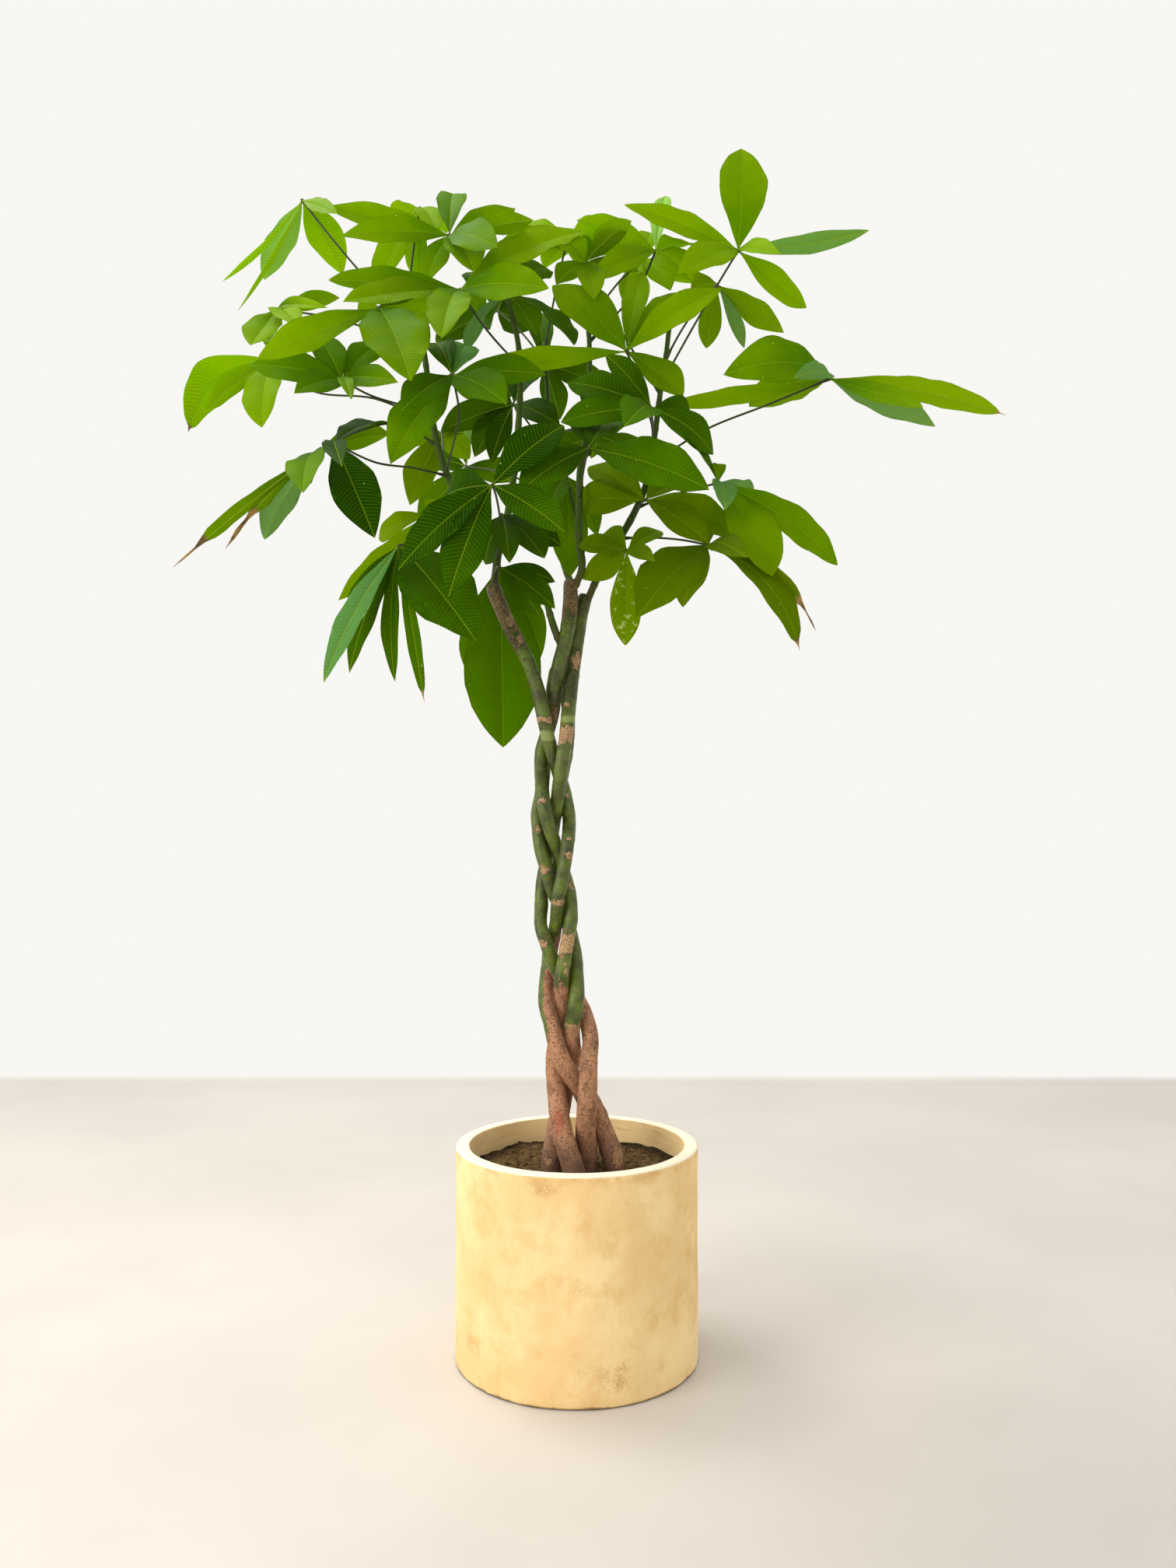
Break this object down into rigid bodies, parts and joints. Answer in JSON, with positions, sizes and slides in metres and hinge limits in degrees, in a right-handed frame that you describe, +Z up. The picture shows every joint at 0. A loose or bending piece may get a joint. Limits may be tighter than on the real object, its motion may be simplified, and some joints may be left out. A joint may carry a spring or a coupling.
{
  "type": "potted money tree",
  "caption": "Tall indoor money tree with a braided trunk and hand-shaped leaves, growing in a plain cylindrical stone-look planter that stands on the floor.",
  "frame": {"origin": "middle of the pot's foot, on its underside, where the pot's axis meets the floor", "axes": "+Z up along the pot's axis, -Y towards the viewer of the picture, +X to that viewer's right"},
  "size_m": [1.2179, 0.7202, 1.7952],
  "materials": {
    "pot": "cast stone or fibre-clay look, fine-grained and slightly mottled, matt",
    "soil": "dry potting soil, crumbly and matt",
    "bark": "thin living bark, green-brown above and reddish grey-brown near the soil, rough",
    "green_wood": "young green shoot, smooth and satin",
    "leaf": "waxy leaf, satin above and paler below"
  },
  "bodies": {
    "root": {"pot": "pot", "soil": "soil", "trunk_1": "bark", "trunk_2": "bark", "trunk_3": "bark", "trunk_4": "bark", "trunk_5": "bark", "shoot_1": "green_wood", "shoot_2": "green_wood", "shoot_3": "green_wood", "shoot_4": "green_wood", "shoot_5": "green_wood", "shoot_6": "green_wood", "frond_01": "leaf", "frond_02": "leaf", "frond_03": "leaf", "frond_04": "leaf", "frond_05": "leaf", "frond_06": "leaf", "frond_07": "leaf", "frond_08": "leaf", "frond_09": "leaf", "frond_10": "leaf", "frond_11": "leaf", "frond_12": "leaf", "frond_13": "leaf", "frond_14": "leaf", "frond_15": "leaf", "frond_16": "leaf", "frond_17": "leaf", "frond_18": "leaf", "frond_19": "leaf", "frond_20": "leaf", "frond_21": "leaf", "frond_22": "leaf", "frond_23": "leaf", "frond_24": "leaf", "frond_25": "leaf", "frond_26": "leaf", "frond_27": "leaf", "frond_28": "leaf", "frond_29": "leaf", "frond_30": "leaf", "frond_31": "leaf", "frond_32": "leaf", "frond_33": "leaf", "frond_34": "leaf", "frond_35": "leaf", "frond_36": "leaf", "frond_37": "leaf", "frond_38": "leaf", "frond_39": "leaf"}
  },
  "joints": []
}
